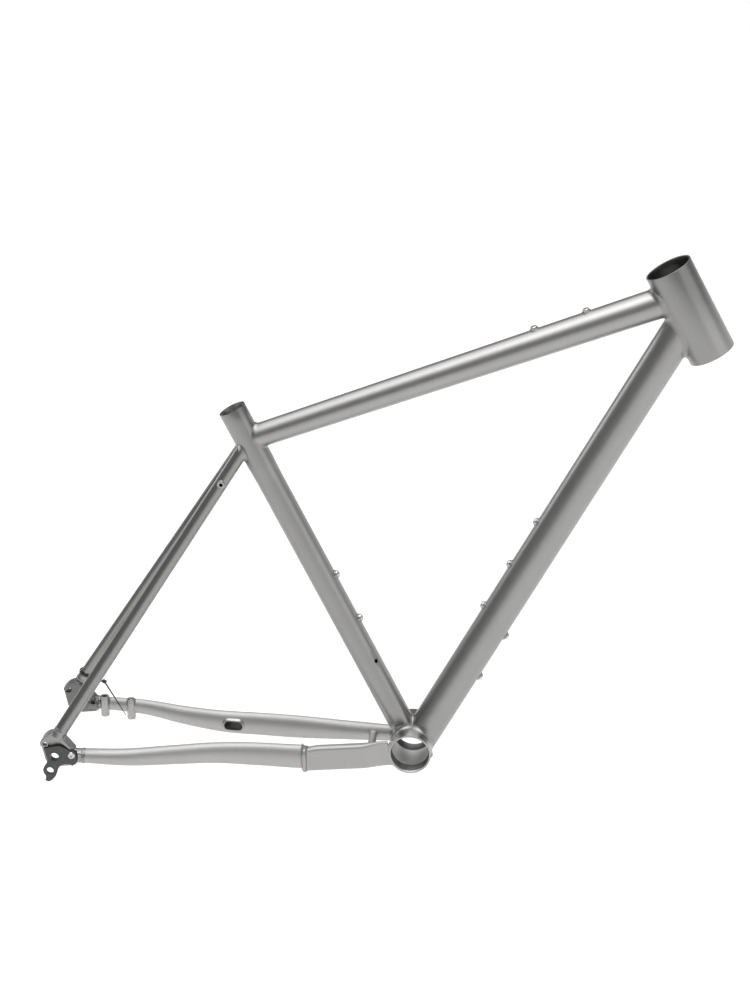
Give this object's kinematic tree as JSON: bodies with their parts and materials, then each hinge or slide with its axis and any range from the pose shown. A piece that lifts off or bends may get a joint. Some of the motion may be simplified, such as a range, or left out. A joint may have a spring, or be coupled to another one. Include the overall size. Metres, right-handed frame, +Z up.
{
  "type": "bicycle frame",
  "caption": "Bare titanium diamond bicycle frame with disc brake posts, through-axle dropouts, drive side yoke and threaded bosses.",
  "frame": {"origin": "centre of the bottom bracket shell", "axes": "+X forward, +Y to the rider's left along the bottom bracket axis, +Z up with the frame in riding position"},
  "size_m": [0.9028, 0.1638, 0.6017],
  "materials": {
    "titanium": "bead-blasted and brushed bare titanium tube",
    "machined_titanium": "machined bare titanium",
    "anodised_alloy": "dark grey anodised",
    "steel": "stainless steel, satin",
    "nylon": "black nylon"
  },
  "bodies": {
    "root": {"bottom_bracket_shell": "machined_titanium", "brake_mount_front": "machined_titanium", "brake_mount_rear": "machined_titanium", "cable_tie": "nylon", "chain_stay_bridge": "titanium", "chain_stay_left": "titanium", "chain_stay_right": "titanium", "chain_stay_yoke": "machined_titanium", "derailleur_hanger": "anodised_alloy", "down_tube": "titanium", "down_tube_lower_boss_1": "machined_titanium", "down_tube_lower_boss_1_screw": "steel", "down_tube_lower_boss_2": "machined_titanium", "down_tube_lower_boss_2_screw": "steel", "down_tube_upper_boss_1": "machined_titanium", "down_tube_upper_boss_1_screw": "steel", "down_tube_upper_boss_2": "machined_titanium", "down_tube_upper_boss_2_screw": "steel", "down_tube_upper_boss_3": "machined_titanium", "down_tube_upper_boss_3_screw": "steel", "dropout_left": "machined_titanium", "dropout_right": "machined_titanium", "hanger_bolt": "steel", "head_tube": "titanium", "hose_port_ring": "machined_titanium", "rack_boss_left": "machined_titanium", "rack_boss_right": "machined_titanium", "seat_stay_bridge": "titanium", "seat_stay_left": "titanium", "seat_stay_right": "titanium", "seat_tube": "titanium", "seat_tube_boss_1": "machined_titanium", "seat_tube_boss_1_screw": "steel", "seat_tube_boss_2": "machined_titanium", "seat_tube_boss_2_screw": "steel", "seatpost_sleeve": "machined_titanium", "top_tube": "titanium", "top_tube_boss_1": "machined_titanium", "top_tube_boss_1_screw": "steel", "top_tube_boss_2": "machined_titanium", "top_tube_boss_2_screw": "steel", "yoke_end_plate": "machined_titanium"}
  },
  "joints": []
}
